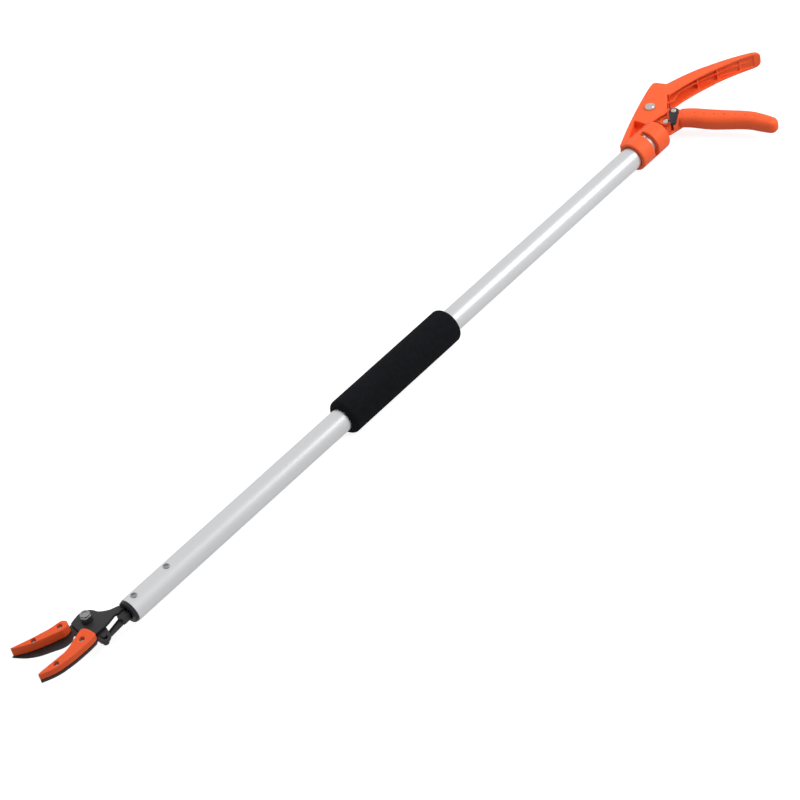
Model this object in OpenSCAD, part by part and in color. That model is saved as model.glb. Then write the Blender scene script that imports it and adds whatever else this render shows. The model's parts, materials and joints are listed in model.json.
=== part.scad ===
// Long-reach hand pruner on a fixed aluminium pole, lying on its side.
// The origin is on the pole axis at the middle of the foam fore grip.
// +X runs along the pole to the handle, +Y away from the trigger, +Z up, square to the blades.
// A squeeze of the trigger pulls the rod along +X, and the rod turns the cutting blade shut.

/* [Pole] */
// Outside diameter of the pole tube
tube_od = 25; // [24:0.5:30]
// Wall of the pole tube
tube_wall = 1.4; // [1:0.1:2]
// Tube length from the middle of the fore grip to the head end
tube_front = 379.6; // [250:0.1:600]
// Tube length from the middle of the fore grip to the handle end
tube_back = 430; // [300:5:700]

/* [Fore grip] */
// Length of the foam sleeve
foam_len = 164; // [100:2:220]
// Thickness of the foam around the tube
foam_wall = 6.2; // [5:0.1:10]
// Radius of the foam's rounded ends
foam_round = 5; // [2:0.5:6]

/* [Ferrule] */
// Length of the black nose in front of the tube
nose_len = 3.4; // [3:0.1:5]
// How far the nose stays inside the tube's outer face
nose_set = 0.7; // [0.4:0.1:1.2]
// Radius of the nose's front edge
nose_round = 1.6; // [1:0.1:2.4]
// Length of the ferrule inside the tube
ferrule_len = 68.5; // [62:0.5:85]
// Diameter of the room for the link inside the ferrule
link_room_d = 13.6; // [13.6:0.2:15]
// Depth of the room for the link, from the nose
link_room_len = 20; // [20:1:28]
// Distance of the first ferrule screw from the tube end
ferrule_screw_at = 9.3; // [8:0.1:12]
// Distance between the two ferrule screws
ferrule_screw_pitch = 43.2; // [36:0.1:46]
// Diameter of a ferrule screw's shank
ferrule_screw_d = 4; // [3:0.5:5]

/* [Blades] */
// Reach from the tube end to the blade pivot
pivot_reach = 32.4; // [32:0.1:36]
// Height of the blade pivot above the pole axis
pivot_rise = 24; // [23:0.5:26]
// Thickness of each blade plate
blade_thick = 3; // [2.5:0.1:3.5]
// Width of the ground bevel along the cutting edge
bevel_w = 5; // [2:0.5:6]
// Diameter of the pivot bolt
pivot_bolt_d = 6; // [5:0.5:8]
// Distance across the pole from the blade pivot to the link pin
blade_arm = 26.1; // [25.6:0.1:27]
// How far the link pin sits ahead of the pivot with the jaws open
link_lead = 4; // [3:0.5:6]
// Diameter of the link pin
link_pin_d = 4; // [3:0.5:4.5]
// Width of the pivot nut and the bolt's head across their flats
pivot_flats = 10; // [9:0.5:12]
// Height of the holding pads above the counter blade
pad_rise = 7.5; // [5:0.5:9]
// How far the counter blade stands out beyond its pad along the back
jaw_rim = 0.6; // [0.2:0.1:1.2]
// Diameter of a pad screw's head
pad_screw_d = 5; // [4:0.5:6]
// Depth of a pad screw's head below the pad's top
screw_sink = 3; // [2:0.1:4]

/* [Pull rod and spring] */
// Diameter of the pull rod
rod_d = 5; // [4:0.5:6]
// Travel of the pull rod from open to shut
stroke = 16.8; // [15:0.2:16.8]
// Length of the return spring with the jaws open
spring_len = 50; // [40:1:70]
// Outside diameter of the return spring
spring_od = 14; // [11:0.5:16]
// Wire diameter of the return spring
spring_wire = 1.6; // [1:0.1:2]
// Turns of the return spring
spring_turns = 8; // [5:1:10]
// Length of the guide plug in the handle end of the tube
guide_len = 20; // [16:1:30]

/* [Handle] */
// How far the tube goes into the collar
collar_seat = 37.3; // [34:0.1:39]
// Length of the collar
collar_len = 48.3; // [46:0.1:50]
// Wall of the collar around the tube
collar_wall = 4.2; // [3.4:0.1:4.4]
// Distance from the collar's mouth to the middle of the turning slot
slot_at = 23; // [20:0.5:25]
// Width of the turning slot
slot_w = 7; // [6.6:0.1:8]
// How far the handle turns on the tube, in degrees
handle_turn = 120; // [60:5:120]
// Diameter of the stop screw's head
stop_head_d = 6; // [5:0.1:6.2]
// Thickness of the handle's body across the cheeks
body_thick = 22; // [21.6:0.1:24]
// Room for the trigger between the cheeks
lever_room = 16.6; // [16.6:0.1:17]
// Wall of the body along its spine
spine_wall = 3.4; // [2.5:0.1:4]
// Thickness of the fixed grip at its tip
grip_tip_thick = 19; // [18:0.1:21]
// Wall of the fixed grip's channel
grip_wall = 2.6; // [2:0.1:3.5]
// Web of the fixed grip along its back
grip_web = 3.5; // [2.5:0.1:4.5]
// Thickness of the ribs in the fixed grip
rib_thick = 1.6; // [1.2:0.1:2.4]
// Share of the fixed grip's depth that the ribs leave open
rib_share = 0.36; // [0.2:0.02:0.5]

/* [Trigger] */
// Distance from the collar's mouth to the trigger's pivot
lever_at = 71.3; // [70:0.1:73]
// Height of the trigger's pivot above the pole axis
lever_arm = 27.5; // [26.5:0.1:28.5]
// Diameter of the trigger's pivot bolt
lever_bolt_d = 6; // [5:0.5:7]
// Greatest thickness of the trigger's arm
trigger_thick = 19.2; // [17:0.1:20]
// Gap in the trigger's fork, where the yoke sits
fork_gap = 9.2; // [9:0.1:10]
// Diameter of the pin between the yoke and the trigger
yoke_pin_d = 4; // [3:0.5:4.5]
// Diameter of the heads on the yoke pin
yoke_head_d = 8.6; // [7:0.1:9]
// Diameter of the dimples along the trigger's side
dimple_d = 3; // [2:0.5:4]
// Number of dimples along the trigger's side
dimples = 7; // [4:1:9]
// Thickness of the thumb latch
latch_thick = 2.8; // [2:0.1:4]
// Length of the thumb latch between its round ends
latch_len = 21; // [16:0.5:24]

/* [Fits] */
// Radial clearance where a shaft or a tube turns or slides in a bore
run_fit = 0.08; // [0.05:0.01:0.1]
// Clearance between pieces that are fixed together
seat_fit = 0.03; // [0.02:0.01:0.1]
// Clearance between moving faces
face_gap = 0.3; // [0.2:0.05:0.4]
// Side play of a pin in a linkage slot
slot_play = 0.5; // [0.45:0.05:0.6]

/* [Hidden] */
$fn = 48;
ORANGE = "#F4622C";
BLACK = "#1B1B1E";
DARK_STEEL = "#3A3938";
STEEL = "#B9B9BC";
SILVER = "#D9DADD";
NYLON = "#E8E6DF";

tube_r = tube_od / 2;
tube_ir = tube_r - tube_wall;
rod_r = rod_d / 2;

// The head, placed from the tube's head end
head_x = -tube_front;
nose_x = head_x - nose_len;
ferrule_r = tube_ir - seat_fit;
nose_r = tube_r - nose_set;
link_room_r = link_room_d / 2;
pivot = [head_x - pivot_reach, pivot_rise];
link_pin_at = [pivot.x - link_lead, pivot.y - blade_arm];
// The cutting blade lies across the pole axis, with the counter blade on top of it
blade_face = blade_thick / 2;
blade_slip = 0.05;
counter_z = blade_face + blade_slip;
counter_top = counter_z + blade_thick;
pad_top = counter_top + pad_rise;
bolt_head_h = 4.6;
washer_h = 1.2;
nut_h = 7.2;
nut_lip = 0.8;

// How far the cutting blade and the trigger turn over the stroke
tail_start = atan2(-blade_arm, -link_lead);
tail_end = atan2(-blade_arm, stroke - link_lead);
blade_turn = tail_end - tail_start;
lever_turn = 2 * atan(stroke / 2 / lever_arm);

// The link: a flat bar under the blade's tail, with a block for the rod at its other end
link_top = -blade_face - face_gap;
link_thick = 2.6;
link_low = link_top - link_thick;
link_lobe_r = 5.4;
link_bar_r = [2.6, 4];
block_len = 9.5;
block_low = 4.7;
block_gap = 0.4;
block_top = 3.4;
block_end = nose_x - 0.5;
rod_thread = 8;
link_head_d = 6;
link_head_gap = 0.15;
link_head_h = 1.4;
link_foot_d = 6;
link_foot_h = 4.2;

// The handle, placed from the collar's mouth
mouth_x = tube_back - collar_seat;
collar_r = tube_r + run_fit + collar_wall;
passage_r = 9;
stop_x = mouth_x + slot_at;
stop_head_h = 2.4;
slot_lead = asin((stop_head_d / 2 + face_gap) / (tube_r + run_fit));
stop_aim = 90;
slot_from = stop_aim - slot_lead;
slot_to = stop_aim + handle_turn + slot_lead;
cheek_z = body_thick / 2;
room_z = lever_room / 2;
lever_pivot = [mouth_x + lever_at, lever_arm];
rod_pin = [lever_pivot.x - stroke / 2, 0];
lever_nut_h = 5;
lever_head_d = 12.6;
lever_head_h = 4.4;

// The spine runs from the collar's mouth up to the heel of the hand
spine_from = [0, 15.2];
spine_to = [98.6, 50.9];
spine_bow_r = 800;
spine_slope = (spine_to.y - spine_from.y) / (spine_to.x - spine_from.x);
heel = [108.5, 48.4];
heel_r = 4.3;
heel_foot = [115.4, 39.4];
// The cheeks' lower edge, with the tooth beside the yoke pin
cheek_tooth = [[62, 8.8], [69.5, 5.7], [72.5, 5.7], [83.3, 13.6], [98.3, 24.8]];
cheek_low = 10.9;
// The fixed grip's back and open side are arcs between two points each
grip_back = [[112.6, 39.5], [214.6, -17.1]];
grip_back_r = 253.8;
grip_open = [[100, 23.4], [210.6, -18.3]];
grip_open_r = 266.4;
grip_root = [101, 36];
grip_tip_r = 2.2;
grip_corner_r = 8.6;
channel_x = [101.5, 208.5];
channel_end = 3;
rib_places = [148.8, 171.5, 194.5];
rib_aim = -26;
// The lower edge of the rib along the middle of the channel, at its root
rib_root = [[97, 23.8], [104.4, 21], [121.2, 25.4]];
rib_depth = 11;
// Triangular relief in each cheek beside the collar
pocket = [[14, 14], [44.4, 29.4], [44.8, 13.4]];
pocket_web = 4;

// The trigger's arm from its root to its tip: place, half width, share of the greatest thickness
arm_stations = [
    [82.3, -5.4, 11.2, 0.87], [88.3, -16.5, 10.9, 0.96], [95.2, -36.7, 11.2, 1], [102.2, -52.5, 10.3, 1],
    [108.8, -66.3, 9.7, 0.98], [113.1, -78.4, 9.3, 0.96], [114.8, -90.8, 8.9, 0.93],
    [115.9, -100.9, 7.8, 0.9]
];
arm_steps = 5;
arm_tip = 8;
// The dimples lie in an even row, a little to the pole's side of the arm's middle
dimple_run = [-20, -83];
dimple_off = 3;
dimple_deep = 1;
arm_square = 2.6;
lever_boss_r = 9;
fork_lobe_r = 7;
fork_root = [79, -3];
fork_root_r = 7.6;
fork_z = fork_gap / 2;
fork_top = room_z - face_gap;
fork_web = fork_top - 1.6;
pin_seat_z = fork_top - 1.4;
yoke_room_r = 7.6;
latch_at = [74.8, -2.4];
latch_r = 5.7;
latch_tip_r = 3.2;
latch_aim = 215;
latch_z = cheek_z + face_gap;
latch_rivet_d = 4;
rivet_head_d = 6.4;
rivet_head_h = 1.8;
rivet_deep = 6;

// The yoke that ties the rod's button to the trigger
yoke_front = tube_back + 1.6;
yoke_wall = 3.2;
yoke_window = 6;
yoke_rail_z = 7;
yoke_half_y = 4;
yoke_eye_z = 4.2;
yoke_eye_r = 5;
button_r = 4.3;
button_len = 4;

// How far cutters reach past what they cut
reach = 60;

// Point at an angle and a radius about a centre
function around(c, r, a) = c + r * [cos(a), sin(a)];

// Points of a circular arc from p to q, bulging to the left of the way, or right with a negative radius
function arc_between(p, q, r, n = 16) =
    let (half = norm(q - p) / 2,
         rise = sign(r) * sqrt(r * r - half * half),
         way = (q - p) / (2 * half),
         left = [-way.y, way.x],
         c = (p + q) / 2 - rise * left,
         from = atan2((p - c).y, (p - c).x),
         span = -2 * asin(half / r))
    [for (i = [0 : n]) around(c, abs(r), from + span * i / n)];

// Centre of the arc that goes from p to q and bulges to the left of the way
function arc_centre(p, q, r) =
    let (way = (q - p) / norm(q - p))
    (p + q) / 2 - sqrt(r * r - pow(norm(q - p) / 2, 2)) * [-way.y, way.x];

// Points of an arc about a centre below it, from one distance along X to another
function on_arc(c, r, x) = [x, c.y + sqrt(r * r - (x - c.x) * (x - c.x))];
function arc_run(c, r, from, to, n = 16) = [for (i = [0 : n]) on_arc(c, r, from + (to - from) * i / n)];

// Smooth curve through a list of points, whatever they hold
function smooth_point(p, i, t) =
    let (n = len(p) - 1,
         a = p[max(i - 1, 0)], b = p[i], c = p[min(i + 1, n)], d = p[min(i + 2, n)])
    0.5 * (2 * b + (c - a) * t + (2 * a - 5 * b + 4 * c - d) * t * t
        + (3 * b - a - 3 * c + d) * t * t * t);
function smooth(p, steps) = concat(
    [for (i = [0 : len(p) - 2], k = [0 : steps - 1]) smooth_point(p, i, k / steps)],
    [p[len(p) - 1]]);

// Closed skin over a row of sections that all have the same number of points
module skin(rows) {
    n = len(rows[0]);
    last = len(rows) - 1;
    sides = [for (i = [0 : last - 1], k = [0 : n - 1], h = [0, 1])
        let (a = i * n + k, b = i * n + (k + 1) % n)
        h == 0 ? [a, a + n, b] : [b, a + n, b + n]];
    first_cap = [for (k = [1 : n - 2]) [0, k, k + 1]];
    last_cap = [for (k = [1 : n - 2]) [last * n, last * n + k + 1, last * n + k]];
    polyhedron([for (row = rows, p = row) p], concat(sides, first_cap, last_cap));
}

// Plate between two heights with two round ends and straight sides that touch both
module strap(low, high, p, rp, q, rq) {
    lean = acos((rp - rq) / norm(q - p));
    way = atan2((q - p).y, (q - p).x);
    union() {
        translate([p.x, p.y, low]) cylinder(r = rp, h = high - low);
        translate([q.x, q.y, low]) cylinder(r = rq, h = high - low);
        slab(low, high) polygon([
            around(p, rp, way + lean), around(q, rq, way + lean),
            around(q, rq, way - lean), around(p, rp, way - lean)
        ]);
    }
}

// Slab between two heights
module slab(low, high) {
    translate([0, 0, low]) linear_extrude(high - low) children();
}

// Round bar along +X
module bar_x(from, to, r) {
    translate([from, 0, 0]) rotate([0, 90, 0]) cylinder(r = r, h = to - from);
}

// Pin with a domed head, its head's foot at the origin and its shank below
module domed_pin(head_d, head_h, shank_d, shank_len) {
    rotate_extrude() polygon(concat(
        [[0, -shank_len], [shank_d / 2, -shank_len], [shank_d / 2, 0], [head_d / 2, 0]],
        [for (a = [20 : 14 : 90]) [head_d / 2 * cos(a), head_h * sin(a)]]));
}

// The same with a cross recess in its head
module domed_screw(head_d, head_h, shank_d, shank_len) {
    recess = [0.62 * head_d, 0.17 * head_d];
    difference() {
        domed_pin(head_d, head_h, shank_d, shank_len);
        for (turn = [45, 135]) rotate(turn) translate([-recess.x / 2, -recess.y / 2, head_h * 0.35])
            cube([recess.x, recess.y, head_h]);
    }
}

// Hexagon prism given by its width across flats
module hexagon(flats, h) {
    cylinder(d = flats / cos(30), h = h, $fn = 6);
}

/* The pole */

module pole_tube() {
    color(SILVER) difference() {
        bar_x(head_x, tube_back, tube_r);
        bar_x(head_x - 1, tube_back + 1, tube_ir);
        ferrule_screw_places() cylinder(d = ferrule_screw_d + 2 * seat_fit, h = tube_od);
        translate([stop_x, 0, 0]) cylinder(d = stop_shank_d + 2 * seat_fit, h = tube_od);
    }
}

// Closed-cell sleeve, pushed on to the tube
module foam_grip() {
    bulge = min(foam_round, foam_wall - 1);
    outer = tube_r + foam_wall;
    end = foam_len / 2;
    corner = [for (a = [0 : 15 : 90]) [outer - bulge + bulge * cos(a), end - bulge + bulge * sin(a)]];
    far_corner = [for (i = [len(corner) - 1 : -1 : 0]) [corner[i].x, -corner[i].y]];
    inner = tube_r + seat_fit;
    color(BLACK) rotate([0, 90, 0]) rotate_extrude()
        polygon(concat(corner, [[inner, end], [inner, -end]], far_corner));
}

module ferrule_screw_places() {
    for (k = [0, 1])
        translate([head_x + ferrule_screw_at + k * ferrule_screw_pitch, 0, 0]) children();
}

ferrule_screw_deep = 4.5;
ferrule_head_d = 7;
ferrule_head_h = 1.5;
module head_ferrule() {
    edge = [for (a = [90 : -15 : 0])
        [nose_r - nose_round + nose_round * cos(a), nose_len - nose_round + nose_round * sin(a)]];
    color(BLACK) difference() {
        translate([head_x, 0, 0]) rotate([0, -90, 0]) rotate_extrude()
            polygon(concat([[0, -ferrule_len], [0, nose_len]], edge,
                [[nose_r, seat_fit], [ferrule_r, seat_fit], [ferrule_r, -ferrule_len]]));
        bar_x(nose_x - 1, nose_x + link_room_len, link_room_r);
        bar_x(nose_x, head_x + ferrule_len + 1, rod_r + run_fit);
        slab(counter_z - seat_fit, counter_top + seat_fit) tang_outline(seat_fit);
        ferrule_screw_places() translate([0, 0, tube_r - ferrule_screw_deep])
            cylinder(d = ferrule_screw_d + 2 * seat_fit, h = tube_od);
    }
}

module ferrule_screws() {
    color(STEEL) ferrule_screw_places() translate([0, 0, tube_r])
        domed_screw(ferrule_head_d, ferrule_head_h, ferrule_screw_d, ferrule_screw_deep - 0.2);
}

/* The head */

// Jaw edges are given from the blade pivot
counter_edge = [[-14.5, -10.2], [-27.8, -14], [-36, -17], [-43.1, -18.1], [-52, -17.7], [-60, -17.2],
    [-67.5, -16.8], [-74.7, -16.4]];
counter_back = [[-76.1, -18.3], [-66.4, -23.4], [-57.7, -26.5], [-48.5, -28], [-39.3, -28.9],
    [-25, -29.2], [-15, -28.6]];
counter_heel = [[-11.2, -26.6], [-10.8, -19.6], [-11.8, -13.6]];
cut_edge = [[-17, 0], [-25, -5.6], [-34, -5.2], [-43.6, 0.5], [-54.4, 7.4], [-63.2, 16.5], [-69.4, 27.4]];
cut_back = [[-14.8, 9.6], [-17.2, 13.6], [-21.1, 14.9], [-30.4, 16.6], [-39.3, 19.6], [-48.1, 22.6],
    [-56.8, 26.3], [-68.2, 31]];
cut_point = [-70, 30.6];
pad_edge = [[-16.6, 5], [-20.5, 3.6], [-25, 3.9], [-32, 7], [-41.2, 11.2], [-50.5, 15.9], [-59.5, 21.8],
    [-67.4, 28.6]];
boss_r = 12.4;
tang_low = 3.9;
tang_high = 9.2;
tang_len = 20;
neck = [[-11.9, 9.9], [-6.5, 11.4], [0, boss_r], [11.8, 2.9], [13.4, -2], [15.8, -5.1], [18.1, -7.4],
    [21.1, -9.9]];

// Outline of the counter blade's tongue inside the ferrule
module tang_outline(fit) {
    translate([nose_x - 1, tang_low - fit]) square([tang_len + 1 + fit, tang_high - tang_low + 2 * fit]);
}

// Outline of the lower jaw, seen from the blade pivot, with its back set out by a rim
module counter_jaw(rim) {
    back = [for (p = counter_back) p - [0, rim]];
    polygon(concat(smooth(counter_edge, 4), smooth(back, 4), counter_heel));
}

// Outline of the plate between the jaw and the ferrule, seen from the blade pivot
module counter_neck() {
    foot = nose_x - pivot.x - 0.2;
    low = tang_low - pivot.y;
    polygon(concat(neck, [
        [foot, -13.4], [foot, low], [foot - 7, low], [foot - 10.2, -18.4], [foot - 11.8, -18.7], [9.3, -20.3],
        [3.4, -20.8], [-7, -20.9], counter_heel[1], counter_edge[0], [-14.2, -3]
    ]));
}

counter_screw_at = [[-23, -20.4], [-57, -21.8]];
cutting_screw_at = [[-23.5, 10.4], [-49.3, 19.1]];
counter_screws = [for (p = counter_screw_at) pivot + p];
cutting_screws = [for (p = cutting_screw_at) pivot + p];
pad_shank_d = 3;

module pad_screw_holes(spots) {
    for (p = spots) translate(p) {
        translate([0, 0, -tube_od]) cylinder(d = pad_shank_d + 2 * seat_fit, h = 2 * tube_od);
        translate([0, 0, pad_top - screw_sink]) cylinder(d = pad_screw_d + 2 * face_gap, h = pad_rise);
    }
}

module pad_screws(spots, foot) {
    for (p = spots) translate([p.x, p.y, pad_top - screw_sink])
        domed_screw(pad_screw_d, 1.6, pad_shank_d, pad_top - screw_sink - foot);
}

module counter_blade() {
    color(DARK_STEEL) difference() {
        union() {
            translate([pivot.x, pivot.y, counter_z]) {
                cylinder(r = boss_r, h = blade_thick);
                linear_extrude(blade_thick) counter_jaw(jaw_rim);
                linear_extrude(blade_thick) counter_neck();
            }
            slab(counter_z, counter_top) tang_outline(0);
        }
        translate(pivot) cylinder(d = pivot_bolt_d + 2 * seat_fit, h = pad_top);
        pad_screw_holes(counter_screws);
    }
}

module counter_pad() {
    color(ORANGE) difference() {
        slab(counter_top, pad_top) translate(pivot) counter_jaw(0);
        pad_screw_holes(counter_screws);
    }
}

module counter_pad_screws() {
    color(STEEL) pad_screws(counter_screws, counter_z);
}

// Bolt through both blades, its head under the cutting blade
module pivot_bolt() {
    color(STEEL) translate(pivot) {
        translate([0, 0, -counter_z - bolt_head_h]) hexagon(pivot_flats, bolt_head_h);
        translate([0, 0, -counter_z]) cylinder(d = pivot_bolt_d, h = 2 * counter_z + blade_thick
            + washer_h + nut_h - nut_lip);
    }
}

module pivot_washer() {
    color(STEEL) translate([pivot.x, pivot.y, counter_top]) difference() {
        cylinder(r = pivot_bolt_d, h = washer_h);
        translate([0, 0, -1]) cylinder(d = pivot_bolt_d + 2 * seat_fit, h = washer_h + 2);
    }
}

// Lock nut with a round collar on top
module pivot_nut() {
    crown = 2.2;
    color(SILVER) translate([pivot.x, pivot.y, counter_top + washer_h]) difference() {
        union() {
            hexagon(pivot_flats, nut_h - crown);
            cylinder(d = 0.92 * pivot_flats, h = nut_h);
        }
        translate([0, 0, -1]) cylinder(d = pivot_bolt_d + 2 * seat_fit, h = nut_h + 2);
    }
}

// Curved blade, flat against the counter blade and ground on its underside
module cutting_blade() {
    edge = concat(smooth(cut_edge, 4), [cut_point]);
    back = smooth(cut_back, 4);
    last = len(edge) - 1;
    rows = [for (i = [0 : last])
        let (e = edge[i],
             b = back[round(i * (len(back) - 1) / last)],
             w = min(bevel_w / norm(b - e), 0.8),
             g = e + (b - e) * w)
        [[e.x, e.y, blade_face], [b.x, b.y, blade_face], [b.x, b.y, -blade_face],
            [g.x, g.y, -blade_face]]];
    color(DARK_STEEL) difference() {
        union() {
            translate(pivot) skin(rows);
            strap(-blade_face, blade_face, pivot, boss_r - 0.4, pivot + [-12, 4], 7.6);
            strap(-blade_face, blade_face, pivot, 11.4, tail_slot(0.5), 6.2);
        }
        translate([pivot.x, pivot.y, -pad_top])
            cylinder(d = pivot_bolt_d + 2 * run_fit, h = 2 * pad_top);
        strap(-pad_top, pad_top, tail_slot(0), link_pin_d / 2 + slot_play,
            tail_slot(1), link_pin_d / 2 + slot_play);
        pad_screw_holes(cutting_screws);
    }
}

// The tail's slot lets the pin run straight while the blade turns: its ends, 0 near and 1 far
tail_near = blade_arm - 0.15;
tail_far = norm([blade_arm, stroke - link_lead]) + 0.15;
function tail_slot(t) = around(pivot, tail_near + (tail_far - tail_near) * t, tail_start);

module cutting_pad() {
    color(ORANGE) difference() {
        slab(blade_face, pad_top) translate(pivot)
            polygon(concat(smooth(cut_back, 4), [for (i = [len(pad_edge) - 1 : -1 : 0]) pad_edge[i]]));
        pad_screw_holes(cutting_screws);
    }
}

module cutting_pad_screws() {
    color(STEEL) pad_screws(cutting_screws, -blade_face);
}

/* The linkage inside the pole */

module rod_link() {
    bar_from = link_pin_at + [5, -0.2];
    bar_to = [block_end - block_len + 2, 0.4];
    color(DARK_STEEL) difference() {
        union() {
            translate([link_pin_at.x, link_pin_at.y, link_low]) cylinder(r = link_lobe_r, h = link_thick);
            strap(link_low, link_top, bar_from, link_bar_r[0], bar_to, link_bar_r[1]);
            translate([block_end - block_len, -block_low, link_low])
                cube([block_len, block_low + tang_low - block_gap, block_top - link_low]);
        }
        translate([link_pin_at.x, link_pin_at.y, -pad_top])
            cylinder(d = link_pin_d + 2 * seat_fit, h = 2 * pad_top);
        bar_x(block_end - rod_thread, block_end + 1, rod_r + seat_fit);
    }
}

module link_pin() {
    head_z = blade_face + link_head_gap;
    color(SILVER) translate([link_pin_at.x, link_pin_at.y, 0]) {
        translate([0, 0, head_z]) domed_pin(link_head_d, link_head_h, link_pin_d, head_z - link_low + 1);
        translate([0, 0, link_low - seat_fit - link_foot_h]) cylinder(d = link_foot_d, h = link_foot_h);
    }
}

module pull_rod() {
    color(STEEL) bar_x(block_end - rod_thread + 0.3, button_x + button_len, rod_r);
}
button_x = yoke_front + yoke_wall + face_gap;

module rod_button() {
    color(STEEL) difference() {
        bar_x(button_x, button_x + button_len, button_r);
        bar_x(button_x - 1, button_x + button_len + 1, rod_r + seat_fit);
    }
}

guide_x = stop_x - guide_len / 2;
spring_collar_len = 4;
module spring_collar() {
    at = guide_x - spring_len - spring_collar_len;
    color(STEEL) difference() {
        bar_x(at, at + spring_collar_len, spring_od / 2 + 1);
        bar_x(at - 1, at + spring_collar_len + 1, rod_r + seat_fit);
    }
}

// Round wire wound about the rod between the collar and the guide plug
module return_spring() {
    sides = 6;
    per_turn = 12;
    wire_r = spring_wire / 2;
    coil_r = spring_od / 2 - wire_r;
    end_gap = 0.3;
    run = spring_len - spring_wire - 2 * end_gap;
    from = guide_x - spring_len + wire_r + end_gap;
    rings = spring_turns * per_turn;
    echo(least_gap_between_turns = run / spring_turns - spring_wire);
    rows = [for (i = [0 : rings])
        let (a = 360 * i / per_turn, x = from + run * i / rings)
        [for (k = [0 : sides - 1])
            let (b = 360 * k / sides, r = coil_r + wire_r * cos(b))
            [x + wire_r * sin(b), r * cos(a), r * sin(a)]]];
    color(STEEL) skin(rows);
}

stop_shank_d = 3.5;
stop_deep = 6;
module guide_plug() {
    color(NYLON) difference() {
        bar_x(guide_x, guide_x + guide_len, tube_ir - seat_fit);
        bar_x(guide_x - 1, guide_x + guide_len + 1, rod_r + run_fit);
        translate([stop_x, 0, tube_r - stop_deep])
            cylinder(d = stop_shank_d + 2 * seat_fit, h = tube_od);
    }
}

module stop_screw() {
    color(STEEL) translate([stop_x, 0, tube_r])
        domed_screw(stop_head_d, stop_head_h, stop_shank_d, stop_deep - 0.2);
}

/* The handle */

module collar_sleeve() {
    lip = 1.2;
    color(ORANGE) translate([mouth_x, 0, 0]) rotate([0, 90, 0]) rotate_extrude($fn = 72)
        polygon([[0, 0], [collar_r - lip, 0], [collar_r, lip], [collar_r, collar_len - 2 * lip],
            [collar_r - 2 * lip, collar_len], [0, collar_len]]);
}

module cheek_outline() {
    heel_arc = [for (a = [100 : -15 : -5]) around(heel, heel_r, a)];
    edge = [for (i = [len(cheek_tooth) - 1 : -1 : 0]) cheek_tooth[i]];
    spine = arc_between(spine_from, spine_to, spine_bow_r, 8);
    polygon(concat([[0, -cheek_low]], spine, heel_arc, [heel_foot], edge,
        [[collar_len - 2, cheek_low], [collar_len - 2, -cheek_low]]));
}

grip_back_c = arc_centre(grip_back[0], grip_back[1], grip_back_r);
grip_open_c = arc_centre(grip_open[0], grip_open[1], grip_open_r);
grip_tip_aim = atan2(grip_back[1].y - grip_back_c.y, grip_back[1].x - grip_back_c.x) - 90;

// Outline of the fixed grip
module grip_outline() {
    back = arc_run(grip_back_c, grip_back_r, grip_back[0].x, grip_back[1].x);
    open = arc_run(grip_open_c, grip_open_r, grip_open[1].x, grip_open[0].x);
    tip = arc_between(grip_back[1], open[0], max(grip_tip_r, 0.52 * norm(open[0] - grip_back[1])), 8);
    polygon(concat([grip_root], back, tip, open));
}

// Plate as thick as the cheeks at the grip's root and thinner at its tip, less an inset on both faces
module grip_plate(inset) {
    root_z = cheek_z - inset;
    tip_z = grip_tip_thick / 2 - inset;
    from = grip_root.x - channel_end;
    to = grip_back[1].x + channel_end;
    intersection() {
        slab(-root_z, root_z) children();
        rotate([90, 0, 0]) linear_extrude(4 * reach, center = true) polygon([
            [from, -root_z], [to, -tip_z], [to, tip_z], [from, root_z]
        ]);
    }
}

// Room between the cheeks for the trigger's root and the yoke
module lever_hollow() {
    inner = spine_wall / cos(atan(spine_slope));
    left = collar_len;
    right = spine_to.x + 6;
    polygon([
        [left, -reach], [left, spine_from.y + spine_slope * left - inner],
        [spine_to.x, spine_to.y - inner], [right, heel.y], [right, heel_foot.y - 1],
        [rib_root[0].x - 2, rib_root[0].y + 7], [cheek_tooth[4].x, 20], [cheek_tooth[4].x, -reach]
    ]);
}

// Hollow of the fixed grip, open on the trigger's side
module channel_outline() {
    back = arc_run(grip_back_c, grip_back_r - grip_web, channel_x[0], channel_x[1]);
    end = on_arc(grip_open_c, grip_open_r, channel_x[1] - channel_end);
    polygon(concat(back, [end, end - [channel_end, reach / 2], [channel_x[0], -reach / 2]]));
}

// Where the ribs stand: from inside the back to a line short of the open side
module rib_zone() {
    from = channel_x[0];
    to = channel_x[1];
    back = arc_run(grip_back_c, grip_back_r - grip_web / 2, to, from);
    open = arc_run(grip_open_c, grip_open_r, from, to);
    edge = [for (i = [0 : len(open) - 1]) open[i] + (back[len(back) - 1 - i] - open[i]) * rib_share];
    polygon(concat(edge, back));
}

// Cross ribs, and a rib along the middle of the channel
module grip_ribs() {
    intersection() {
        grip_plate(grip_wall / 2) rib_zone();
        for (x = rib_places)
            let (p = on_arc(grip_back_c, grip_back_r, x))
            translate([p.x, p.y, 0]) rotate(rib_aim) cube([rib_thick, reach, body_thick], center = true);
    }
    intersection() {
        slab(-rib_thick / 2, rib_thick / 2) rib_zone();
        translate([rib_root[2].x, -reach, -body_thick]) cube([2 * reach, 2 * reach, 2 * body_thick]);
    }
    slab(-rib_thick / 2, rib_thick / 2)
        polygon(concat(rib_root, [rib_root[2] + [0, rib_depth], rib_root[0] + [0, rib_depth]]));
}

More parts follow.
